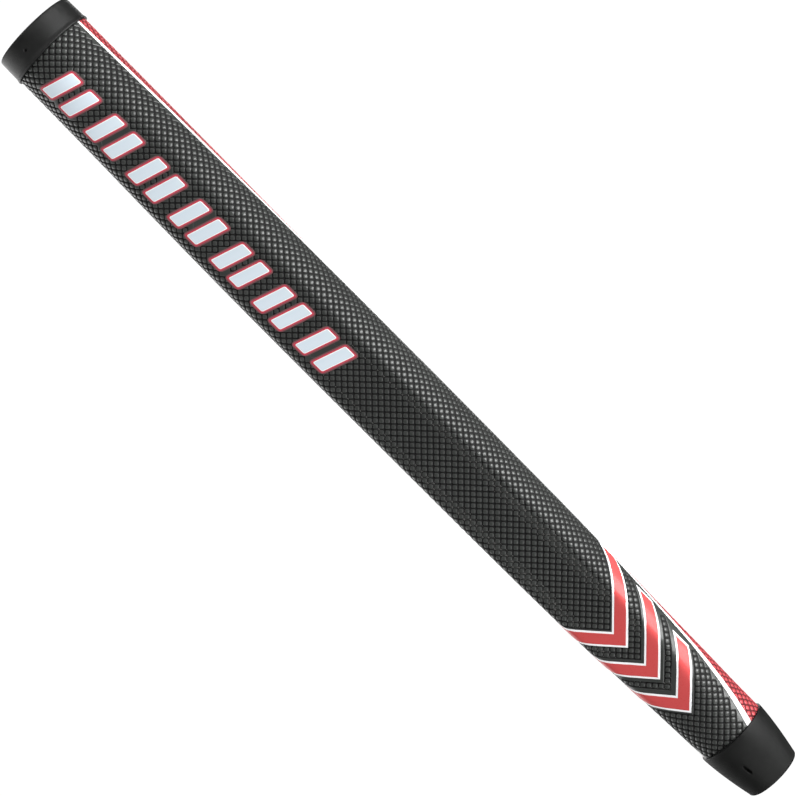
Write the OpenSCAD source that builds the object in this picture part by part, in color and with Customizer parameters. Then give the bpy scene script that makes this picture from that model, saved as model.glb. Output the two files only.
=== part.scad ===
// Putter grip. A moulded rubber sleeve holds the shaft, a felt-backed polyurethane skin is wrapped
// around it, and a rubber cap at the butt and a tapered rubber collar at the nose close the ends.
//
// Frame: the origin is the centre of the bore's mouth at the nose, +Z runs up the bore to the butt,
// and the flat front faces -Y. A place on the skin is given by its height z and by its angle around
// the grip, which is 0 on the front's centre line and grows towards +X.

/* [Length] */
// Whole length, from the nose end to the butt end
grip_length = 266.7; // [255:0.1:280]
// Height of the butt cap, down to the edge of the skin
cap_height = 7.1; // [6.5:0.1:10]
// Height of the nose collar, up to the edge of the skin
collar_height = 15.7; // [13:0.1:18]

/* [Bore] */
// Diameter of the shaft bore
bore_d = 13.4; // [12.6:0.1:13.4]
// Thickness of the cap's crown, which closes the bore
crown_t = 2.5; // [2:0.1:4]
// Diameter of the air vent through the crown
vent_d = 3; // [2:0.1:4]

/* [Wrap] */
// Thickness of the polyurethane skin
skin_t = 0.5; // [0.4:0.05:0.6]
// Thickness of the felt backing
felt_t = 0.4; // [0.3:0.05:0.5]
// Width of the glued seam down the back
seam_w = 0.9; // [0.6:0.1:1.5]
// Height of the seam above the skin
seam_proud = 0.08; // [0.05:0.01:0.15]

/* [Butt cap] */
// Radius of the cap's side
cap_r = 11.65; // [11.55:0.05:11.8]
// How far the cap's lip stands out from its side
cap_lip = 0.2; // [0.1:0.05:0.4]
// Height of the lip
cap_lip_h = 1.3; // [0.6:0.1:1.5]
// Radius of the rounded edge at the butt end
cap_round = 0.5; // [0.3:0.1:2]
// Diameter of the alignment dot on the front
dot_d = 0.9; // [0.6:0.1:1.4]

/* [Nose collar] */
// Radius of the collar at the edge of the skin
collar_r = 10.1; // [9.9:0.05:10.4]
// Radius of the collar just above its rounded tip
tip_r = 8; // [7.8:0.05:8.4]
// Radius of the rounded tip
tip_round = 0.9; // [0.6:0.1:0.9]
// Length of the alignment slot on the front
slot_l = 3; // [1.5:0.1:4]
// Width of the alignment slot
slot_w = 0.9; // [0.4:0.1:1.2]
// Height of the slot's middle
slot_z = 7.65; // [6:0.05:9]

/* [Emblem] */
// Distance from the skin's butt edge to the middle of the first pair of bars
emblem_start = 12; // [11:0.1:16]
// How far the emblem sits to the left of the front's centre line
emblem_aside = 0.4; // [0:0.1:1]
// Number of pairs of slanted bars down the front
pair_count = 7; // [3:1:7]
// Distance from one pair to the next
pair_pitch = 14.9; // [12:0.1:15]
// Length of a bar across the grip
bar_l = 9.6; // [8:0.1:11]
// Width of a bar along the grip
bar_w = 3.4; // [2.5:0.1:4]
// Clear space between the two bars of a pair
bar_gap = 2.9; // [2:0.1:3.5]
// Slant of the bars
bar_slant = 17; // [0:1:25]
// Width of the edging that shows around each bar
edging_w = 0.85; // [0.3:0.05:0.9]

/* [Bands] */
// Number of V-shaped bands above the nose
band_count = 3; // [1:1:3]
// Height of the lowest band's point
band_start = 28; // [26:0.5:32]
// Distance from one band's point to the next
band_pitch = 11.5; // [11:0.5:12]
// Height of a band, measured along the grip
band_h = 5.8; // [4:0.1:6]
// Height of the border on each side of a band, measured along the grip
border_h = 0.75; // [0.5:0.05:1]
// Rise of the band's arms
band_rise = 44; // [30:1:50]
// Length of the lowest band's arms, around the grip
arm_l = 13; // [10:0.5:14]
// How much longer each next band's arms are
arm_step = 3; // [2:0.5:3.5]

/* [Hidden] */

$fn = 96;
rings = 30;
front_cells = 36;
back_cells = 14;
ink_t = 0.06;
dimple_depth = 0.5;

wrap_t = skin_t + felt_t;
bore_r = bore_d / 2;
neck_r = bore_r + 0.6;
neck_start = 1.5;
spigot_r = 10;
skin_low = collar_height;
skin_high = grip_length - cap_height;
crown_z = grip_length - crown_t;

// The body's shape up the grip. Each row is the place along the skin (0 at the nose, 1 at the butt),
// the radius of its round back, how far that circle's centre is shifted forward from the bore, the
// distance of the flat front from that centre, and how sharply flat and circle meet.
body = [
    [0.00,  9.62, 0.00, 11.5, 8],
    [0.04,  9.80, 0.25,  9.3, 12],
    [0.08, 10.10, 0.50,  7.8, 18],
    [0.13, 10.45, 1.00,  7.3, 24],
    [0.18, 10.85, 1.55,  7.1, 26],
    [0.28, 11.28, 1.65,  7.2, 28],
    [0.48, 11.52, 1.75,  8.0, 28],
    [0.60, 11.60, 1.80,  8.6, 26],
    [0.70, 11.65, 1.55,  9.0, 22],
    [0.80, 11.60, 1.00,  9.2, 18],
    [0.90, 11.45, 0.40,  9.9, 14],
    [1.00, 11.35, 0.00, 13.0, 8]];
RADIUS = 1;
SHIFT = 2;
FLAT = 3;
CREASE = 4;

// The pinstripes' path: the place along the skin, the angle of the edge on the front's side, and
// the stripe's width around the grip.
stripe = [
    [0.00, 48.5, 1.9],
    [0.03, 62.5, 1.75],
    [0.06, 73.2, 1.65],
    [0.10, 84.3, 1.5],
    [0.15, 93.0, 1.4],
    [0.20, 101, 1.4],
    [0.27, 110, 1.5],
    [0.40, 116, 1.7],
    [0.55, 111, 1.7],
    [0.65, 103, 1.5],
    [0.73, 96.5, 1.35],
    [0.79, 91.8, 1.3],
    [0.86, 88.0, 1.3],
    [0.93, 83.3, 1.3],
    [1.00, 79.8, 1.1]];
EDGE = 1;
WIDTH = 2;

// ---- Smooth curves through the rows of a table ----

function row_below(table, t) = max([for (i = [0:len(table) - 2]) if (i == 0 || table[i][0] <= t) i]);

function slope(table, i, column) =
    let (a = max(i - 1, 0), b = min(i + 1, len(table) - 1))
    (table[b][column] - table[a][column]) / (table[b][0] - table[a][0]);

function read(table, column, t) =
    let (
        i = row_below(table, t),
        span = table[i + 1][0] - table[i][0],
        k = (t - table[i][0]) / span
    )
    table[i][column] * (2 * pow(k, 3) - 3 * k * k + 1)
    + slope(table, i, column) * span * (pow(k, 3) - 2 * k * k + k)
    + table[i + 1][column] * (3 * k * k - 2 * pow(k, 3))
    + slope(table, i + 1, column) * span * (pow(k, 3) - k * k);

// ---- The body's section, as [radius, shift, flat, crease, z] ----

function section_at(z) =
    let (t = (z - skin_low) / (skin_high - skin_low))
    [for (column = [RADIUS:CREASE]) read(body, column, t), z];

// Distance of the skin from the section's centre: a circle cut by the flat, with a soft crease
function reach(section, angle) =
    let (cut = section[0] * max(cos(angle), 0) / section[2])
    section[0] / pow(1 + pow(cut, section[3]), 1 / section[3]);

// Point at a depth below the skin
function place(section, angle, depth) =
    let (r = reach(section, angle) - depth)
    [r * sin(angle), -section[1] - r * cos(angle), section[4]];

// Angle of the point at an arc length from the front's centre line: across the flat, then around
function angle_at(section, arc) =
    let (
        corner = section[2] < section[0] ? acos(section[2] / section[0]) : 0,
        half_flat = section[0] * sin(corner),
        past = abs(arc) - half_flat
    )
    sign(arc) * (past > 0 ? corner + past / section[0] * 180 / PI : atan(abs(arc) / section[2]));

function stripe_edge(z) = read(stripe, EDGE, (z - skin_low) / (skin_high - skin_low));

function stripe_far_edge(z) =
    let (t = (z - skin_low) / (skin_high - skin_low))
    stripe_edge(z) + read(stripe, WIDTH, t) / read(body, RADIUS, t) * 180 / PI;

function steps(low, high, count) = [for (i = [0:count]) low + (high - low) * i / count];

heights = steps(skin_low, skin_high, rings);
sections = [for (z = heights) section_at(z)];
near_edges = [for (z = heights) stripe_edge(z)];
far_edges = [for (z = heights) stripe_far_edge(z)];

front_angles = [for (edge = near_edges) steps(-edge, edge, front_cells)];
right_angles = [for (i = [0:rings]) [near_edges[i], far_edges[i]]];
left_angles = [for (i = [0:rings]) [-far_edges[i], -near_edges[i]]];
back_angles = [for (edge = far_edges) steps(edge, 360 - edge, back_cells)];

// Every edge around each ring once, so that layers under the skin share its facets
around_angles = [for (i = [0:rings]) [
    for (angle = front_angles[i]) angle,
    for (j = [0:back_cells]) back_angles[i][j]]];

// ---- Solids made from a grid of points and the same grid at another depth ----

// Triangles of a grid of rows and columns whose points start at a given index
function sheet_faces(rows, columns, start, flip) = [
    for (i = [0:rows - 2], j = [0:columns - 2])
        let (
            a = start + i * columns + j,
            b = a + 1,
            c = a + columns,
            d = c + 1
        )
        each flip ? [[a, c, b], [b, c, d]] : [[a, b, c], [b, d, c]]];

// Triangles of the walls around two grids of the same size
function rim_faces(rows, columns) =
    let (
        rim = [
            for (j = [0:columns - 1]) j,
            for (i = [1:rows - 1]) i * columns + columns - 1,
            for (j = [columns - 2:-1:0]) (rows - 1) * columns + j,
            for (i = [rows - 2:-1:1]) i * columns],
        under = rows * columns
    )
    [for (k = [0:len(rim) - 1])
        let (a = rim[k], b = rim[(k + 1) % len(rim)])
        each [[a, a + under, b], [b, a + under, b + under]]];

module slab(outer, inner) {
    rows = len(outer);
    columns = len(outer[0]);
    polyhedron(
        points = [for (grid = [outer, inner], row = grid) each row],
        faces = [
            each sheet_faces(rows, columns, 0, false),
            each sheet_faces(rows, columns, rows * columns, true),
            each rim_faces(rows, columns)]);
}

// A layer of the wrap over one set of angles, between two depths
module layer(angles, low_depth, high_depth) {
    slab(
        [for (i = [0:rings]) [for (angle = angles[i]) place(sections[i], angle, high_depth)]],
        [for (i = [0:rings]) [for (angle = angles[i]) place(sections[i], angle, low_depth)]]);
}

// The whole body, solid, at a depth below the skin
module core(depth) {
    columns = len(around_angles[0]) - 1;
    points = [for (i = [0:rings], j = [0:columns - 1]) place(sections[i], around_angles[i][j], depth)];
    side = [for (i = [0:rings - 1], j = [0:columns - 1])
        let (
            a = i * columns + j,
            b = i * columns + (j + 1) % columns,
            c = a + columns,
            d = b + columns
        )
        each [[a, c, b], [b, c, d]]];
    low_end = [for (j = [0:columns - 1]) j];
    high_end = [for (j = [columns - 1:-1:0]) rings * columns + j];
    polyhedron(points = points, faces = [each side, low_end, high_end]);
}

// A printed shape on the skin. Its outline is given by the arcs it spans around the grip and by its
// lower edge at each arc; every arc has the same height.
module print(arcs, lows, height, level) {
    function print_grid(depth) = [
        for (k = [0:len(arcs) - 1]) [
            for (z = steps(lows[k], lows[k] + height, 2))
                let (section = section_at(z))
                place(section, angle_at(section, arcs[k]), depth)]];
    slab(print_grid(-(level + 1) * ink_t), print_grid(-level * ink_t));
}

// ---- Core, cap and collar ----

module core_sleeve() {
    color("#2a2a2b")
    difference() {
        union() {
            core(wrap_t);
            translate([0, 0, neck_start]) cylinder(r = neck_r, h = skin_low - neck_start);
            translate([0, 0, skin_high]) cylinder(r = spigot_r, h = crown_z - skin_high);
        }
        cylinder(r = bore_r, h = grip_length);
    }
}

module butt_cap() {
    lip_r = cap_r + cap_lip;
    top_r = cap_r - 0.1;
    edge = [for (a = [90:-10:0])
        [top_r - cap_round + cap_round * cos(a), grip_length - cap_round + cap_round * sin(a)]];
    color("#232324")
    difference() {
        rotate_extrude()
            polygon([
                [0, grip_length],
                each edge,
                [cap_r, skin_high + cap_lip_h],
                [lip_r, skin_high + cap_lip_h / 2],
                [lip_r, skin_high],
                [spigot_r, skin_high],
                [spigot_r, crown_z],
                [0, crown_z]]);
        translate([0, 0, crown_z - 1]) cylinder(d = vent_d, h = crown_t + 2);
        translate([0, -cap_r + dimple_depth, crown_z - 1.15])
            rotate([90, 0, 0]) cylinder(d = dot_d, h = 1, $fn = 24);
    }
}

module nose_collar() {
    side = [for (z = [tip_round:1.2:collar_height - 1])
        [collar_r - (collar_r - tip_r) * pow((collar_height - z) / (collar_height - tip_round), 1.5), z]];
    tip = [for (a = [-90:15:-15])
        [tip_r - tip_round + tip_round * cos(a), tip_round + tip_round * sin(a)]];
    color("#232324")
    difference() {
        rotate_extrude()
            polygon([
                [bore_r, 0],
                each tip,
                each side,
                [collar_r, collar_height],
                [neck_r, collar_height],
                [neck_r, neck_start],
                [bore_r, neck_start]]);
        translate([-slot_w / 2, -collar_r - 1, slot_z - slot_l / 2])
            cube([slot_w, 1.8 + dimple_depth, slot_l]);
    }
}

// ---- Wrap ----

module felt_backing() {
    color("#8f8f8c")
    difference() {
        core(skin_t);
        core(wrap_t);
    }
}

module front_skin() {
    color("#1c1c1d") layer(front_angles, skin_t, 0);
}

module back_skin() {
    color("#c8222c") layer(back_angles, skin_t, 0);
}

module pinstripe_right() {
    color("#f4f4f2") layer(right_angles, skin_t, 0);
}

module pinstripe_left() {
    color("#f4f4f2") layer(left_angles, skin_t, 0);
}

module back_seam() {
    half = seam_w / 2 / min([for (row = body) row[RADIUS]]) * 180 / PI;
    color("#8e1820") layer([for (i = [0:rings]) [180 - half, 180, 180 + half]], 0, -seam_proud);
}

// ---- Printed emblem: pairs of slanted bars with an edging ----

module slanted_bars(grow, level) {
    first_z = skin_high - emblem_start;
    bar_step = (bar_w + bar_gap) / 2;
    arcs = steps(-bar_l / 2 - grow, bar_l / 2 + grow, 6) - [for (i = [0:6]) emblem_aside];
    for (i = [0:pair_count - 1], side = [-1, 1]) {
        middle = first_z - i * pair_pitch + side * bar_step;
        lows = [for (arc = arcs) middle - bar_w / 2 - grow - (arc + emblem_aside) * tan(bar_slant)];
        print(arcs, lows, bar_w + 2 * grow, level);
    }
}

module emblem_edging() {
    color("#b8303a") slanted_bars(edging_w, 0);
}

module emblem_bars() {
    color("#e9eef4") slanted_bars(0, 1);
}

// ---- Printed bands: V shapes that point to the nose ----

module vee_bands(trim, level) {
    for (i = [0:band_count - 1]) {
        reach_l = arm_l + i * arm_step - trim;
        arcs = steps(-reach_l, reach_l, 20);
        start = band_start + i * band_pitch + trim;
        lows = [for (arc = arcs) start + abs(arc) * tan(band_rise)];
        print(arcs, lows, band_h - 2 * trim, level);
    }
}

module band_borders() {
    color("#f4f4f2") vee_bands(0, 0);
}

module bands() {
    color("#c8303a") vee_bands(border_h, 1);
}

core_sleeve();
butt_cap();
nose_collar();
felt_backing();
front_skin();
back_skin();
pinstripe_right();
pinstripe_left();
back_seam();
emblem_edging();
emblem_bars();
band_borders();
bands();
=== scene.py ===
"""A putter grip: embossed black and red skin with white pinstripes over a rubber sleeve, a rubber cap
at the butt and a tapered rubber collar at the nose. Lengths are in millimetres until points() and
lathe() turn them into metres. A place on the skin is (arc, z, lift): the distance around from the
front's centre line, the height above the nose, and the height over the skin."""

import math

import bpy
import numpy as np
from mathutils import Matrix, Vector


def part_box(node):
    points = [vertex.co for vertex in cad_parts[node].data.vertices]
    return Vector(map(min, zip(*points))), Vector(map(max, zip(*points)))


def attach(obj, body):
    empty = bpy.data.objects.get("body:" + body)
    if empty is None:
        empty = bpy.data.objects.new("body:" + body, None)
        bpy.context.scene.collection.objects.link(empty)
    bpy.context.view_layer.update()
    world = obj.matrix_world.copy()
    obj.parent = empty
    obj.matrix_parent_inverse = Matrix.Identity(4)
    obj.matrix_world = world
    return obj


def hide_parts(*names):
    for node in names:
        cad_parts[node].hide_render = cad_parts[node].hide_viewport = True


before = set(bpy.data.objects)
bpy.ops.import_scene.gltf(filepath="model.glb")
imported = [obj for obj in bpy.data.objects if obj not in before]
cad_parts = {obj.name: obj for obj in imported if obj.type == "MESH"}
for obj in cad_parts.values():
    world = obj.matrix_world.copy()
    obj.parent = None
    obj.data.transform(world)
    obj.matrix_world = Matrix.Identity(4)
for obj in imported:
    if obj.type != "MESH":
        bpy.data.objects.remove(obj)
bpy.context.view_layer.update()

MM = 0.001
rng = np.random.default_rng(7)

# ---------------------------------------------------------------- sizes

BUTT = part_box("butt_cap")[1].z / MM
SKIN_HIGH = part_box("front_skin")[1].z / MM
SKIN_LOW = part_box("front_skin")[0].z / MM
BORE = 6.7
SKIN_T = 0.5

# Place along the skin, radius, forward shift, distance of the flat, sharpness of the crease
BODY = np.array([
    [0.00, 9.62, 0.00, 11.5, 8],
    [0.04, 9.80, 0.25, 9.3, 12],
    [0.08, 10.10, 0.50, 7.8, 18],
    [0.13, 10.45, 1.00, 7.3, 24],
    [0.18, 10.85, 1.55, 7.1, 26],
    [0.28, 11.28, 1.65, 7.2, 28],
    [0.48, 11.52, 1.75, 8.0, 28],
    [0.60, 11.60, 1.80, 8.6, 26],
    [0.70, 11.65, 1.55, 9.0, 22],
    [0.80, 11.60, 1.00, 9.2, 18],
    [0.90, 11.45, 0.40, 9.9, 14],
    [1.00, 11.35, 0.00, 13.0, 8]])
# Place along the skin, angle of the pinstripe's front edge, the stripe's width
STRIPE = np.array([
    [0.00, 48.5, 1.9],
    [0.03, 62.5, 1.75],
    [0.06, 73.2, 1.65],
    [0.10, 84.3, 1.5],
    [0.15, 93.0, 1.4],
    [0.20, 101, 1.4],
    [0.27, 110, 1.5],
    [0.40, 116, 1.7],
    [0.55, 111, 1.7],
    [0.65, 103, 1.5],
    [0.73, 96.5, 1.35],
    [0.79, 91.8, 1.3],
    [0.86, 88.0, 1.3],
    [0.93, 83.3, 1.3],
    [1.00, 79.8, 1.1]])

# Embossed pads: full diagonals of one diamond cell, and the groove's depth
CELL_AROUND = 2.28
CELL_ALONG = 2.17
GROOVE = 0.42
EDGE_DROP = 0.08
CORNER_DROP = 0.14
CORNER_PULL = 0.84
PAD_TILT = 0.012
PAD_RISE = 0.006
# Where the mesh lines run across a cell: a groove's edge, a pad's rim and its flat top
STEPS = np.array([0, 0.14, 0.27, 0.73, 0.86])
# Plain skin left round the printed figures and beside the pinstripes and the seam
BAR_MARGIN = 0.25
BAND_MARGIN = 0.7
STRIPE_MARGIN = 1.35
RED_MARGIN = 0.5
SEAM_W = 0.9

# Emblem: pairs of slanted bars
PAIRS = 7
PAIR_PITCH = 14.9
BAR_L = 9.6
BAR_W = 3.4
BAR_GAP = 2.9
BAR_SLANT = math.tan(math.radians(17))
BAR_ROUND = 0.55
EDGING = 0.85
EMBLEM_START = 12
EMBLEM_ASIDE = 0.4

# Bands: V shapes above the nose
BANDS = 3
BAND_START = 28
BAND_PITCH = 11.5
BAND_H = 5.8
BORDER_H = 0.75
BAND_RISE = math.tan(math.radians(44))
ARM_L = 13
ARM_STEP = 3


# ---------------------------------------------------------------- the skin's shape

def read(table, column, place):
    """A smooth curve through one column of a table, at each place along the skin."""
    at, value = table[:, 0], table[:, column].astype(float)
    slope = np.empty_like(value)
    slope[1:-1] = (value[2:] - value[:-2]) / (at[2:] - at[:-2])
    slope[0] = (value[1] - value[0]) / (at[1] - at[0])
    slope[-1] = (value[-1] - value[-2]) / (at[-1] - at[-2])
    i = np.clip(np.searchsorted(at, place, side="right") - 1, 0, len(at) - 2)
    span = at[i + 1] - at[i]
    k = (place - at[i]) / span
    return (
        value[i] * (2 * k**3 - 3 * k**2 + 1)
        + slope[i] * span * (k**3 - 2 * k**2 + k)
        + value[i + 1] * (3 * k**2 - 2 * k**3)
        + slope[i + 1] * span * (k**3 - k**2)
    )


def along(z):
    return np.clip((np.asarray(z, float) - SKIN_LOW) / (SKIN_HIGH - SKIN_LOW), 0, 1)


def section(z):
    """Radius, shift, flat and crease at each height, and the angle and arc where the flat ends."""
    radius, shift, flat, crease = (read(BODY, column, along(z)) for column in (1, 2, 3, 4))
    corner = np.arccos(np.minimum(1, flat / radius))
    return radius, shift, flat, crease, corner, radius * np.sin(corner)


def outline(shape, angle):
    radius, shift, flat, crease = shape[:4]
    cut = radius * np.maximum(np.cos(angle), 0) / flat
    reach = radius / (1 + cut**crease) ** (1 / crease)
    return reach * np.sin(angle), -shift - reach * np.cos(angle)


def points(arc, z, lift):
    """Places on the skin as points in metres."""
    arc, z, lift = np.broadcast_arrays(*(np.asarray(v, float) for v in (arc, z, lift)))
    shape = section(z)
    radius, flat, corner, half_flat = shape[0], shape[2], shape[4], shape[5]
    past = np.abs(arc) - half_flat
    angle = np.sign(arc) * np.where(past > 0, corner + past / radius, np.arctan(np.abs(arc) / flat))
    x, y = outline(shape, angle)
    before, after = outline(shape, angle - 0.004), outline(shape, angle + 0.004)
    tangent = np.array([after[0] - before[0], after[1] - before[1]])
    tangent /= np.hypot(*tangent)
    return np.stack([x + lift * tangent[1], y - lift * tangent[0], z], axis=-1) * MM


def arc_at(angle, z):
    """Arc from the front's centre line to an angle, in radians, past the flat."""
    radius, _, _, _, corner, half_flat = section(z)
    return half_flat + radius * (angle - corner)


def stripe_near(z):
    return arc_at(np.radians(read(STRIPE, 1, along(z))), z)


def stripe_far(z):
    return stripe_near(z) + read(STRIPE, 2, along(z))


def half_round(z):
    return arc_at(math.pi, z)


# ---------------------------------------------------------------- meshes

def mesh_object(name, vertices, faces, values=None):
    """An object from points in metres. values is a number for each vertex, kept as "shade"."""
    mesh = bpy.data.meshes.new(name)
    mesh.from_pydata([tuple(v) for v in vertices], [], [tuple(map(int, f)) for f in faces])
    mesh.validate()
    mesh.shade_smooth()
    if values is not None:
        layer = mesh.attributes.new("shade", "FLOAT", "POINT")
        layer.data.foreach_set("value", np.asarray(values, np.float32))
    piece = bpy.data.objects.new(name, mesh)
    bpy.context.scene.collection.objects.link(piece)
    return piece


def grid_faces(rows, columns, wrap=False, start=0):
    """Quads of a grid of points, facing out when columns run round to +X and rows run up."""
    span = columns if wrap else columns - 1
    i, j = np.meshgrid(np.arange(rows - 1), np.arange(span), indexing="ij")
    low, high = i.ravel() * columns, (i.ravel() + 1) * columns
    j = j.ravel()
    k = (j + 1) % columns
    return start + np.stack([low + j, low + k, high + k, high + j], 1)


def clip(faces, places, keep):
    """Cuts faces along the curve where keep(places) is zero. faces is a list of index lists."""
    value = keep(places)
    kept, added, made = [], [], {}
    for face in faces:
        inside = [value[i] >= 0 for i in face]
        if all(inside):
            kept.append(face)
            continue
        if not any(inside):
            continue
        cut = []
        for n, a in enumerate(face):
            b = face[(n + 1) % len(face)]
            if value[a] >= 0:
                cut.append(a)
            if (value[a] >= 0) != (value[b] >= 0):
                key = (min(a, b), max(a, b))
                if key not in made:
                    low, high = key
                    k = value[low] / (value[low] - value[high])
                    made[key] = len(places) + len(added)
                    added.append(places[low] + (places[high] - places[low]) * k)
                cut.append(made[key])
        if len(cut) > 2:
            kept.append(cut)
    return kept, np.vstack([places, added]) if added else places


def used_only(faces, *arrays):
    """Drops the points that no face uses."""
    used = sorted({i for face in faces for i in face})
    place = {old: new for new, old in enumerate(used)}
    return [[place[i] for i in face] for face in faces], *[array[used] for array in arrays]


def skirt(faces, places, lift):
    """Walls down from the open edges of a skin."""
    edges = {}
    for face in faces:
        for n, a in enumerate(face):
            b = face[(n + 1) % len(face)]
            edges[(min(a, b), max(a, b))] = None if (min(a, b), max(a, b)) in edges else (a, b)
    rim = [edge for edge in edges.values() if edge]
    below = {i: len(places) + n for n, i in enumerate(sorted({i for edge in rim for i in edge}))}
    foot = places[sorted(below)].copy()
    foot[:, 2] = lift
    walls = [[b, a, below[a], below[b]] for a, b in rim]
    return faces + walls, np.vstack([places, foot])


# ---------------------------------------------------------------- embossed skin

LAST = len(STEPS)


def near_bars(arc, z, margin):
    """True where a place is within a margin of an emblem bar."""
    found = np.zeros(np.shape(arc), bool)
    for middle in bar_middles():
        aside = arc + EMBLEM_ASIDE
        across = np.abs(z - (middle - aside * BAR_SLANT)) * math.cos(math.atan(BAR_SLANT))
        found |= (np.abs(aside) < BAR_L / 2 + margin) & (across < BAR_W / 2 + margin)
    return found


def near_bands(arc, z, margin):
    """True where a place is within a margin of a band."""
    found = np.zeros(np.shape(arc), bool)
    slope = math.cos(math.atan(BAND_RISE))
    for i in range(BANDS):
        height = z - (BAND_START + i * BAND_PITCH + np.abs(arc) * BAND_RISE)
        inside = (height * slope > -margin) & ((height - BAND_H) * slope < margin)
        found |= inside & (np.abs(arc) < ARM_L + i * ARM_STEP + margin)
    return found


def bar_middles():
    first = SKIN_HIGH - EMBLEM_START
    step = (BAR_W + BAR_GAP) / 2
    return [first - i * PAIR_PITCH + side * step for i in range(PAIRS) for side in (-1, 1)]


def embossed(low_arc, high_arc, is_smooth, side=0):
    """A skin of diamond pads between two arcs given as functions of z. side is -1 or 1 for a skin on
    one side of the grip, or 0 for both sides. is_smooth(arc, z) is true where the skin has no pads."""
    half_s, half_z = CELL_AROUND / 2, CELL_ALONG / 2
    below = 24
    widest = 38
    count = int((SKIN_HIGH / half_z + widest / half_s) / 2) + 3
    a, b = np.meshgrid(np.arange(-below, count), np.arange(-count, below), indexing="ij")
    a, b = a.ravel(), b.ravel()
    arc, z = (a + b) * half_s, (a - b) * half_z
    spare = 2
    near = (z > SKIN_LOW - spare) & (z < SKIN_HIGH + spare)
    level = np.clip(z, SKIN_LOW, SKIN_HIGH)
    if side == 0:
        near &= np.abs(arc) < high_arc(level) + spare
    else:
        near &= (side * arc > low_arc(level) - spare) & (side * arc < high_arc(level) + spare)
    a, b, arc, z, level = (v[near] for v in (a, b, arc, z, level))
    flat = is_smooth(arc, level)
    pads = set(zip(a[~flat].tolist(), b[~flat].tolist()))

    index, places, shade, faces = {}, [], [], []

    def vertex(ia, ib, bump, ua=None, ub=None):
        key = (ia, ib)
        if key not in index:
            ua = ia // LAST + STEPS[ia % LAST] - 0.5 if ua is None else ua
            ub = ib // LAST + STEPS[ib % LAST] - 0.5 if ub is None else ub
            index[key] = len(places)
            places.append(((ua + ub) * half_s, (ua - ub) * half_z, bump))
        return index[key]

    def edge_bump(ia, ib):
        """A point on the line between cells lies in the groove if a pad touches it."""
        sides_a = (ia // LAST, ia // LAST - 1) if ia % LAST == 0 else (ia // LAST,)
        sides_b = (ib // LAST, ib // LAST - 1) if ib % LAST == 0 else (ib // LAST,)
        return -GROOVE if any((ca, cb) in pads for ca in sides_a for cb in sides_b) else 0

    tilts = rng.normal(0, 1, (len(a), 3))
    for n, (ca, cb) in enumerate(zip(a.tolist(), b.tolist())):
        pad = (ca, cb) in pads
        around = [(ca + da, cb + db) in pads for da in (-1, 0, 1) for db in (-1, 0, 1)]
        if not any(around):
            corners = [(0, 0), (LAST, 0), (LAST, LAST), (0, LAST)]
            loop = [vertex(ca * LAST + i, cb * LAST + j, 0) for i, j in corners]
            faces.append(loop[::-1])
            continue
        grid = np.empty((LAST + 1, LAST + 1), int)
        for i in range(LAST + 1):
            for j in range(LAST + 1):
                ia, ib = ca * LAST + i, cb * LAST + j
                if i in (0, LAST) or j in (0, LAST):
                    grid[i, j] = vertex(ia, ib, edge_bump(ia, ib))
                    continue
                ua = ca + STEPS[i] - 0.5
                ub = cb + STEPS[j] - 0.5
                bump = 0.0
                if pad:
                    rims = (i in (1, LAST - 1)) + (j in (1, LAST - 1))
                    if rims == 2:
                        ua = ca + (ua - ca) * CORNER_PULL
                        ub = cb + (ub - cb) * CORNER_PULL
                    bump = (0, -EDGE_DROP, -CORNER_DROP)[rims]
                    bump += PAD_TILT * (tilts[n, 0] * (ua - ca) + tilts[n, 1] * (ub - cb))
                    bump += PAD_RISE * tilts[n, 2]
                grid[i, j] = vertex(ia, ib, bump, ua, ub)
        for i in range(LAST):
            for j in range(LAST):
                faces.append([grid[i, j], grid[i, j + 1], grid[i + 1, j + 1], grid[i + 1, j]])
    places = np.array(places)

    def level_of(p):
        return np.clip(p[:, 1], SKIN_LOW, SKIN_HIGH)

    faces, places = clip(faces, places, lambda p: p[:, 1] - SKIN_LOW)
    faces, places = clip(faces, places, lambda p: SKIN_HIGH - p[:, 1])
    if side == 0:
        faces, places = clip(faces, places, lambda p: high_arc(level_of(p)) - p[:, 0])
        faces, places = clip(faces, places, lambda p: p[:, 0] + high_arc(level_of(p)))
    else:
        faces, places = clip(faces, places, lambda p: side * p[:, 0] - low_arc(level_of(p)))
        faces, places = clip(faces, places, lambda p: high_arc(level_of(p)) - side * p[:, 0])
    faces, places = used_only(faces, places)
    faces, places = skirt(faces, places, -SKIN_T)
    return faces, places


def join_parts(parts):
    """Several (faces, places) as one."""
    faces, places, start = [], [], 0
    for part_faces, part_places in parts:
        faces += [[i + start for i in face] for face in part_faces]
        places.append(part_places)
        start += len(part_places)
    return faces, np.vstack(places)


def skin_piece(name, node, slot, material, faces, places):
    shade = np.clip(-places[:, 2] / GROOVE, 0, 1)
    piece = mesh_object(name, points(*places.T), faces, shade)
    finish_piece(piece, node, material)


def finish_piece(piece, node, material):
    piece.data.materials.append(material)
    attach(piece, "root")
    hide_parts(node)


# ---------------------------------------------------------------- materials

def new_material(name, specular=0.2):
    material = bpy.data.materials.new(name)
    material.use_nodes = True
    nodes, links = material.node_tree.nodes, material.node_tree.links
    shader = nodes["Principled BSDF"]
    shader.inputs["Specular IOR Level"].default_value = specular
    return material, nodes, links, shader


def noise(nodes, links, scale, detail=3.0, rough=0.55):
    """Fractal noise in the grip's own space; scale is in features for each metre."""
    where = nodes.new("ShaderNodeTexCoord")
    texture = nodes.new("ShaderNodeTexNoise")
    texture.inputs["Scale"].default_value = scale
    texture.inputs["Detail"].default_value = detail
    texture.inputs["Roughness"].default_value = rough
    links.new(where.outputs["Object"], texture.inputs["Vector"])
    return texture.outputs["Fac"]


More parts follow.
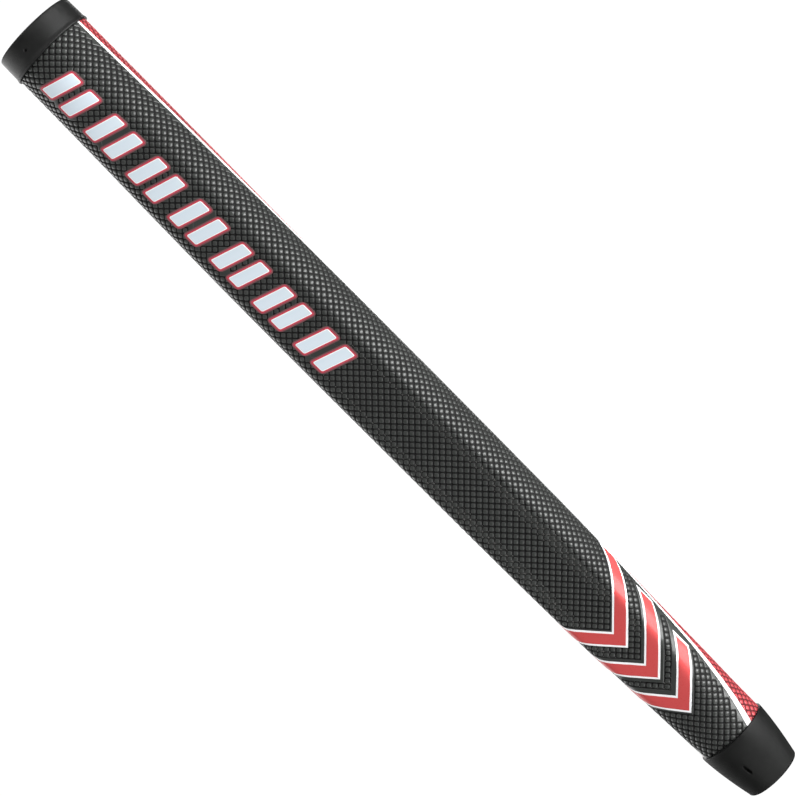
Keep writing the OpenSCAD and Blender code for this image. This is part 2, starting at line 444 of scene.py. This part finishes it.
def ramp(nodes, links, source, stops):
    """A colour ramp; stops is a list of (place, colour)."""
    node = nodes.new("ShaderNodeValToRGB")
    elements = node.color_ramp.elements
    while len(elements) < len(stops):
        elements.new(0.5)
    for element, (place, colour) in zip(elements, stops):
        element.position = place
        element.color = (*colour, 1)
    links.new(source, node.inputs["Fac"])
    return node.outputs["Color"]


def to_range(nodes, links, source, low, high):
    node = nodes.new("ShaderNodeMapRange")
    node.inputs["To Min"].default_value = low
    node.inputs["To Max"].default_value = high
    links.new(source, node.inputs["Value"])
    return node.outputs["Result"]


def bump(nodes, links, shader, source, height):
    node = nodes.new("ShaderNodeBump")
    node.inputs["Strength"].default_value = 1
    node.inputs["Distance"].default_value = height
    links.new(source, node.inputs["Height"])
    links.new(node.outputs["Normal"], shader.inputs["Normal"])


def mix(nodes, links, factor, a, b):
    node = nodes.new("ShaderNodeMix")
    node.data_type = "RGBA"
    for socket, value in ((node.inputs[0], factor), (node.inputs[6], a), (node.inputs[7], b)):
        if hasattr(value, "links"):
            links.new(value, socket)
        elif isinstance(value, tuple):
            socket.default_value = (*value, 1)
        else:
            socket.default_value = value
    return node.outputs[2]


def shade_value(nodes):
    node = nodes.new("ShaderNodeAttribute")
    node.attribute_name = "shade"
    return node.outputs["Fac"]


def skin_material(name, top, groove, rough):
    """Polyurethane: grained pads with duller rims and grooves between them, and painted shade that darkens
    the rims and grooves.
    """
    material, nodes, links, shader = new_material(name, 0.5)
    grain = noise(nodes, links, 4200, 4)
    patches = noise(nodes, links, 60, 3)
    dark, light = tuple(c * 0.86 for c in top), tuple(c * 1.12 for c in top)
    tone = ramp(nodes, links, patches, [(0.35, dark), (0.65, light)])
    # Painted shade: the colour darkens to the groove colour as the grooves deepen, standing in for the shade
    # in them; the grooves are also rougher
    groove_depth_shade = ramp(nodes, links, shade_value(nodes), [(0.06, (0, 0, 0)), (0.34, (1, 1, 1))])
    colour = mix(nodes, links, groove_depth_shade, tone, groove)
    links.new(colour, shader.inputs["Base Color"])
    shine = to_range(nodes, links, grain, rough - 0.05, rough + 0.08)
    links.new(mix(nodes, links, groove_depth_shade, shine, (0.85, 0.85, 0.85)), shader.inputs["Roughness"])
    bump(nodes, links, shader, grain, 0.00003)
    return material


def rubber_material(name, tone, specular):
    """Matte moulded rubber: fine pits, faint mould marks and dust."""
    material, nodes, links, shader = new_material(name, specular)
    pits = noise(nodes, links, 3200, 5, 0.7)
    clouds = noise(nodes, links, 110, 5, 0.65)
    light, dark = tuple(c * 2.4 for c in tone), tuple(c * 0.7 for c in tone)
    links.new(ramp(nodes, links, clouds, [(0.36, dark), (0.7, light)]), shader.inputs["Base Color"])
    links.new(to_range(nodes, links, clouds, 0.4, 0.66), shader.inputs["Roughness"])
    bump(nodes, links, shader, pits, 0.00006)
    return material


def smooth_material(name, stops, rough, height=0.000012):
    """Smooth coated or printed surface whose colour runs through stops by the "shade" of the mesh."""
    material, nodes, links, shader = new_material(name)
    grain = noise(nodes, links, 2600, 3)
    links.new(ramp(nodes, links, shade_value(nodes), stops), shader.inputs["Base Color"])
    links.new(to_range(nodes, links, grain, rough - 0.04, rough + 0.05), shader.inputs["Roughness"])
    bump(nodes, links, shader, grain, height)
    return material


def felt_material():
    material, nodes, links, shader = new_material("felt")
    fibres = noise(nodes, links, 5200, 6, 0.8)
    tone = ramp(nodes, links, fibres, [(0.3, (0.18, 0.18, 0.17)), (0.7, (0.42, 0.42, 0.4))])
    links.new(tone, shader.inputs["Base Color"])
    shader.inputs["Roughness"].default_value = 0.95
    shader.inputs["Sheen Weight"].default_value = 0.3
    bump(nodes, links, shader, fibres, 0.0002)
    return material


# The second colour of each skin is painted shade, laid into the bottoms of the grooves
BLACK = skin_material("black_polyurethane", (0.034, 0.037, 0.0345), (0.0005, 0.0005, 0.0005), 0.33)
RED = skin_material("red_polyurethane", (0.43, 0.047, 0.056), (0.1, 0.004, 0.007), 0.36)
WHITE = smooth_material("white_pinstripe", [(0, (0.88, 0.88, 0.88)), (1, (0.6, 0.6, 0.62))], 0.38)
SEAM = smooth_material("seam_adhesive", [(0, (0.4, 0.02, 0.03)), (1, (0.25, 0.01, 0.015))], 0.35)
PRINT_WHITE = smooth_material("white_paint", [
    (0, (0.7, 0.79, 0.86)), (0.4, (0.72, 0.81, 0.87)), (0.55, (0.97, 0.97, 0.97))], 0.3)
BORDER_WHITE = smooth_material("white_border_paint", [(0, (0.92, 0.92, 0.93)), (1, (0.85, 0.85, 0.87))], 0.3)
PRINT_RED = smooth_material("red_paint", [(0, (0.56, 0.075, 0.075)), (1, (0.54, 0.06, 0.06))], 0.28)
EDGING_RED = smooth_material("red_edging_paint", [
    (0.05, (0.62, 0.06, 0.09)), (0.42, (0.55, 0.06, 0.09)), (0.55, (0.24, 0.08, 0.095)),
    (0.9, (0.18, 0.075, 0.08)), (1, (0.05, 0.03, 0.03))], 0.35)
CAP_RUBBER = rubber_material("cap_rubber", (0.004, 0.0042, 0.004), 0.32)
COLLAR_RUBBER = rubber_material("collar_rubber", (0.0025, 0.0027, 0.0025), 0.18)
SLEEVE_RUBBER = rubber_material("sleeve_rubber", (0.03, 0.03, 0.031), 0.2)


# ---------------------------------------------------------------- skins, pinstripes and seam

def front_is_smooth(arc, z):
    return (
        (np.abs(arc) > stripe_near(z) - STRIPE_MARGIN)
        | near_bars(arc, z, EDGING + BAR_MARGIN)
        | near_bands(arc, z, BAND_MARGIN)
    )


def back_is_smooth(arc, z):
    return (np.abs(arc) < stripe_far(z) + RED_MARGIN) | (np.abs(arc) > half_round(z) - SEAM_W)


def back_edge(z):
    return half_round(z) - SEAM_W / 2


skin_piece("front_skin_embossed", "front_skin", "skin_black", BLACK,
           *embossed(None, stripe_near, front_is_smooth))
skin_piece("back_skin_embossed", "back_skin", "skin_red", RED,
           *join_parts([embossed(stripe_far, back_edge, back_is_smooth, side) for side in (-1, 1)]))


def strip(name, node, material, low_arc, high_arc, crown, edge_drop, columns=10, rows=260):
    """A long strip on the skin with rolled edges, closed underneath."""
    z = np.linspace(SKIN_LOW, SKIN_HIGH, rows)
    across = (1 - np.cos(np.linspace(0, math.pi, columns))) / 2
    level = crown - (crown + edge_drop) * np.abs(2 * across - 1) ** 6
    low, high = low_arc(z), high_arc(z)
    top_arc = low[:, None] + (high - low)[:, None] * across
    top = np.stack([top_arc, np.repeat(z[:, None], columns, 1), np.repeat(level[None], rows, 0)], -1)
    under = top[:, ::-1].copy()
    under[..., 2] = -SKIN_T
    loop = np.concatenate([top, under], 1)
    vertices = points(*loop.reshape(-1, 3).T)
    count = 2 * columns
    faces = grid_faces(rows, count, wrap=True).tolist()
    faces += [list(range(count))[::-1], [(rows - 1) * count + i for i in range(count)]]
    shade = np.tile(np.concatenate([np.abs(2 * across - 1) ** 8, np.ones(columns)]), rows)
    piece = mesh_object(name, vertices, faces, shade)
    finish_piece(piece, node, material)


strip("pinstripe_right_strip", "pinstripe_right", WHITE, stripe_near, stripe_far, 0.02, 0.08)
strip("pinstripe_left_strip", "pinstripe_left", WHITE,
      lambda z: -stripe_far(z), lambda z: -stripe_near(z), 0.02, 0.08)
strip("back_seam_bead", "back_seam", SEAM,
      lambda z: half_round(z) - SEAM_W / 2, lambda z: half_round(z) + SEAM_W / 2, 0.08, 0.12)


# ---------------------------------------------------------------- printed figures

def rounded(u, v, width, height, radius):
    """Maps a grid on the square from -1 to 1 onto a rectangle with round corners."""
    inner_w, inner_h = width / 2 - radius, height / 2 - radius
    x, y = u * width / 2, v * height / 2
    over_x = np.maximum(np.abs(x) - inner_w, 0) / radius
    over_y = np.maximum(np.abs(y) - inner_h, 0) / radius
    round_x = over_x * np.sqrt(1 - over_y**2 / 2)
    round_y = over_y * np.sqrt(1 - over_x**2 / 2)
    x = np.sign(x) * (np.minimum(np.abs(x), inner_w) + radius * round_x)
    y = np.sign(y) * (np.minimum(np.abs(y), inner_h) + radius * round_y)
    return x, y


def edge_steps(count, width, radius, bevel):
    """Places from -1 to 1 with extra ones in the round corners and on the bevel."""
    half = width / 2
    inner = np.linspace(-(half - radius), half - radius, count)
    corner = half - radius + radius * np.array([0.25, 0.5, 0.72, 0.88])
    outer = np.array([half - bevel, half - bevel * 0.4, half])
    side = np.unique(np.round(np.concatenate([corner[corner < half - bevel - 0.02], outer]), 5))
    return np.concatenate([-side[::-1], inner, side]) / half


def bars(name, node, material, grow, base, top, bevel, shade_reach):
    """The emblem's bars as low raised plates."""
    width, height, radius = BAR_L + 2 * grow, BAR_W + 2 * grow, BAR_ROUND + grow
    u, v = np.meshgrid(edge_steps(15, width, radius, bevel), edge_steps(5, height, radius, bevel))
    x, y = rounded(u, v, width, height, radius)
    inset = np.minimum((1 - np.abs(u)) * width / 2, (1 - np.abs(v)) * height / 2)
    rise = np.clip(inset / bevel, 0, 1)
    lift = base + (top - base) * np.sqrt(1 - (1 - rise) ** 2)
    shade = np.clip(1 - inset / shade_reach, 0, 1)
    faces, places, start = [], [], 0
    for middle in bar_middles():
        places.append(np.stack([x - EMBLEM_ASIDE, middle + y - x * BAR_SLANT, lift], -1).reshape(-1, 3))
        faces += grid_faces(*u.shape, start=start).tolist()
        start += u.size
    places = np.vstack(places)
    piece = mesh_object(name, points(*places.T), faces, np.tile(shade.ravel(), len(bar_middles())))
    finish_piece(piece, node, material)


bars("emblem_edging_print", "emblem_edging", EDGING_RED, EDGING, -0.02, 0.04, 0.12, 0.9)
bars("emblem_bars_print", "emblem_bars", PRINT_WHITE, 0, 0.02, 0.1, 0.14, 0.45)


def vees(name, node, material, trim, base, top, bevel):
    """The bands as low raised V shapes."""
    faces, places, shades, start = [], [], [], 0
    height = BAND_H - 2 * trim
    for i in range(BANDS):
        length = ARM_L + i * ARM_STEP - trim
        arcs = edge_steps(61, 2 * length, 0.6, bevel) * length
        v = edge_steps(5, height, 0.6, bevel)
        arc, across = np.meshgrid(arcs, v)
        z = BAND_START + i * BAND_PITCH + trim + np.abs(arc) * BAND_RISE + (across + 1) * height / 2
        slope = math.cos(math.atan(BAND_RISE))
        inset = np.minimum(length - np.abs(arc), (1 - np.abs(across)) * height / 2 * slope)
        rise = np.clip(inset / bevel, 0, 1)
        lift = base + (top - base) * np.sqrt(1 - (1 - rise) ** 2)
        places.append(np.stack([arc, z, lift], -1).reshape(-1, 3))
        shades.append(np.clip(1 - inset / 0.3, 0, 1).ravel())
        faces += grid_faces(*arc.shape, start=start).tolist()
        start += arc.size
    places = np.vstack(places)
    piece = mesh_object(name, points(*places.T), faces, np.concatenate(shades))
    finish_piece(piece, node, material)


vees("band_borders_print", "band_borders", BORDER_WHITE, 0, -0.02, 0.05, 0.12)
vees("bands_print", "bands", PRINT_RED, BORDER_H, 0.02, 0.09, 0.12)


# ---------------------------------------------------------------- rubber ends

def lathe(name, node, material, profile, angles, marks=()):
    """Turns a closed profile of (radius, z) about the bore. marks are functions that say how far
    each point is pushed in towards the axis."""
    profile = np.array(profile)
    angle, r = np.meshgrid(angles, profile[:, 0], indexing="ij")
    z = np.repeat(profile[None, :, 1], len(angles), 0)
    for mark in marks:
        r = r - mark(angle * r, z) * (r > BORE + 1)
    vertices = np.stack([r * np.sin(angle), -r * np.cos(angle), z], -1).reshape(-1, 3) * MM
    rows, columns = len(angles), len(profile)
    faces = []
    for i in range(rows):
        k = (i + 1) % rows
        for j in range(columns):
            n = (j + 1) % columns
            faces.append([i * columns + j, k * columns + j, k * columns + n, i * columns + n])
    piece = mesh_object(name, vertices, faces)
    finish_piece(piece, node, material)


def arc_points(centre, radius, start, end, count):
    angles = np.radians(np.linspace(start, end, count))
    return [(centre[0] + radius * math.cos(t), centre[1] + radius * math.sin(t)) for t in angles]


def line_points(a, b, count):
    return [(a[0] + (b[0] - a[0]) * k, a[1] + (b[1] - a[1]) * k) for k in np.linspace(0, 1, count)]


CAP_R = 11.65
CAP_LIP_R = 11.85
CAP_LIP_H = 1.3
CAP_ROUND = 0.5
CAP_TAPER = 0.1
CROWN = 2.5
VENT_R = 1.5
SPIGOT_R = 10.0
COLLAR_R = 10.1
TIP_R = 8.0
TIP_ROUND = 0.9
NECK_R = BORE + 0.6
NECK_START = 1.5
# The alignment dot on the cap and the alignment slot on the collar
DOT_Z = BUTT - 3.65
DOT_R = 0.5
DOT_DEPTH = 0.5
SLOT_Z = 7.65
SLOT_HALF_L = 1.5
SLOT_HALF_W = 0.45
SLOT_DEPTH = 1.2
fine = np.radians(np.arange(-9, 9, 0.25))
coarse = np.radians(np.arange(9, 351, 1.5))
TURN = np.concatenate([fine, coarse])


def cap_profile():
    top = CAP_R - CAP_TAPER
    return (
        arc_points((VENT_R + 0.25, BUTT - 0.25), 0.25, 180, 90, 4)
        + line_points((3, BUTT), (top - CAP_ROUND - 0.4, BUTT), 6)
        + arc_points((top - CAP_ROUND, BUTT - CAP_ROUND), CAP_ROUND, 90, 4, 12)
        + line_points((top + 0.01, BUTT - CAP_ROUND - 0.3), (CAP_R, SKIN_HIGH + CAP_LIP_H), 40)
        + [(CAP_R + 0.02, SKIN_HIGH + 1.1), (CAP_R + 0.08, SKIN_HIGH + 0.8), (CAP_R + 0.15, SKIN_HIGH + 0.58)]
        + arc_points((CAP_LIP_R - 0.2, SKIN_HIGH + 0.35), 0.2, 30, 0, 4)
        + arc_points((CAP_LIP_R - 0.15, SKIN_HIGH + 0.15), 0.15, 0, -90, 5)
        + [(11.2, SKIN_HIGH), (SPIGOT_R, SKIN_HIGH), (SPIGOT_R, BUTT - CROWN), (VENT_R, BUTT - CROWN)]
    )


def collar_profile():
    def side(z):
        return COLLAR_R - (COLLAR_R - TIP_R) * ((SKIN_LOW - z) / (SKIN_LOW - TIP_ROUND)) ** 1.5

    return (
        [(BORE, NECK_START), (BORE, 0.25)]
        + arc_points((BORE + 0.2, 0.2), 0.2, 180, 270, 4)
        + arc_points((TIP_R - TIP_ROUND, TIP_ROUND), TIP_ROUND, -88, -4, 10)
        + [(side(z), z) for z in np.linspace(TIP_ROUND + 0.1, SKIN_LOW - 0.35, 70)]
        + arc_points((COLLAR_R - 0.2, SKIN_LOW - 0.2), 0.2, 10, 90, 5)
        + [(9.2, SKIN_LOW), (NECK_R, SKIN_LOW), (NECK_R, NECK_START)]
    )


def dot(arc, z):
    """A small round dimple on the front."""
    away = np.hypot(arc, z - DOT_Z)
    return DOT_DEPTH * np.clip((DOT_R - away) / 0.12, 0, 1)


def slot_mark(arc, z):
    """A short slot on the front."""
    away = np.abs(z - SLOT_Z)
    width = SLOT_HALF_W * np.clip((SLOT_HALF_L - away) / 0.6, 0, 1) ** 0.5
    return SLOT_DEPTH * np.clip((width - np.abs(arc)) / 0.06 + 1, 0, 1) * (away < SLOT_HALF_L)


lathe("butt_cap_moulding", "butt_cap", CAP_RUBBER, cap_profile(), TURN, [dot])
lathe("nose_collar_moulding", "nose_collar", COLLAR_RUBBER,
      collar_profile(), TURN, [slot_mark])

for node, material in (("core_sleeve", SLEEVE_RUBBER), ("felt_backing", felt_material())):
    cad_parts[node].data.materials.clear()
    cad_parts[node].data.materials.append(material)


# ---------------------------------------------------------------- camera

AZIMUTH = math.radians(25)
ELEVATION = math.radians(2.55)
ROLL = math.radians(45.135)
DISTANCE = 0.645
AIM_Z = 0.13649
AIM_ASIDE = -0.00029


def direction(azimuth, elevation):
    """Unit vector from the grip towards a place round it; azimuth 0 is straight in front."""
    level = math.cos(elevation)
    return Vector((math.sin(azimuth) * level, -math.cos(azimuth) * level, math.sin(elevation)))


back = direction(AZIMUTH, ELEVATION)
level_right = Vector((math.cos(AZIMUTH), math.sin(AZIMUTH), 0))
level_up = back.cross(level_right)
right = level_right * math.sin(ROLL) - level_up * math.cos(ROLL)
up = level_right * math.cos(ROLL) + level_up * math.sin(ROLL)
camera = bpy.data.objects.new("camera", bpy.data.cameras.new("camera"))
bpy.context.scene.collection.objects.link(camera)
camera.data.sensor_width = 36
camera.data.lens = 114.9
camera.data.clip_start, camera.data.clip_end = 0.01, 20
eye = Vector((0, 0, AIM_Z)) + level_right * AIM_ASIDE + back * DISTANCE
camera.matrix_world = Matrix((
    (right.x, up.x, back.x, eye.x),
    (right.y, up.y, back.y, eye.y),
    (right.z, up.z, back.z, eye.z),
    (0, 0, 0, 1)))
bpy.context.scene.camera = camera


# ---------------------------------------------------------------- floor and light

def plain_floor():
    mesh = bpy.data.meshes.new("floor")
    half, height = 8, -1.2
    corners = [(-half, -half), (half, -half), (half, half), (-half, half)]
    mesh.from_pydata([(x, y, height) for x, y in corners], [], [(0, 1, 2, 3)])
    floor = bpy.data.objects.new("floor", mesh)
    bpy.context.scene.collection.objects.link(floor)
    material, _, _, shader = new_material("pale_floor")
    shader.inputs["Base Color"].default_value = (0.3, 0.3, 0.3, 1)
    shader.inputs["Roughness"].default_value = 0.9
    shader.inputs["Emission Color"].default_value = (1, 1, 1, 1)
    shader.inputs["Emission Strength"].default_value = 1.0
    mesh.materials.append(material)
    floor.visible_diffuse = floor.visible_glossy = floor.visible_shadow = False


def softbox(name, azimuth, elevation, distance, width, height, watts):
    """A soft rectangular light that faces the grip."""
    away = direction(math.radians(azimuth), math.radians(elevation))
    data = bpy.data.lights.new(name, "AREA")
    data.shape = "RECTANGLE"
    data.size, data.size_y = width, height
    data.energy = watts
    light = bpy.data.objects.new(name, data)
    light.location = Vector((0, 0, 0.13)) + away * distance
    light.rotation_mode = "QUATERNION"
    light.rotation_quaternion = away.to_track_quat("Z", "Y")
    bpy.context.scene.collection.objects.link(light)


def studio_world():
    world = bpy.data.worlds.new("studio")
    bpy.context.scene.world = world
    world.use_nodes = True
    nodes, links = world.node_tree.nodes, world.node_tree.links
    nodes.clear()
    seen, lighting = nodes.new("ShaderNodeBackground"), nodes.new("ShaderNodeBackground")
    seen.inputs["Color"].default_value = (1, 1, 1, 1)
    seen.inputs["Strength"].default_value = 1.05
    lighting.inputs["Color"].default_value = (1, 1, 1, 1)
    lighting.inputs["Strength"].default_value = 0.17
    path, choose = nodes.new("ShaderNodeLightPath"), nodes.new("ShaderNodeMixShader")
    out = nodes.new("ShaderNodeOutputWorld")
    links.new(path.outputs["Is Camera Ray"], choose.inputs["Fac"])
    links.new(lighting.outputs["Background"], choose.inputs[1])
    links.new(seen.outputs["Background"], choose.inputs[2])
    links.new(choose.outputs["Shader"], out.inputs["Surface"])


plain_floor()
studio_world()
softbox("key", 84, -8, 1.0, 0.9, 0.6, 23)
softbox("top", 0, 60, 1.2, 1.0, 0.8, 5.5)
softbox("low", 10, -58, 1.2, 1.0, 0.8, 10)
softbox("rim", -100, 5, 1.0, 1.2, 0.9, 9)
softbox("back", 205, 10, 1.2, 1.0, 0.8, 9)
bpy.context.scene.view_settings.view_transform = "Standard"
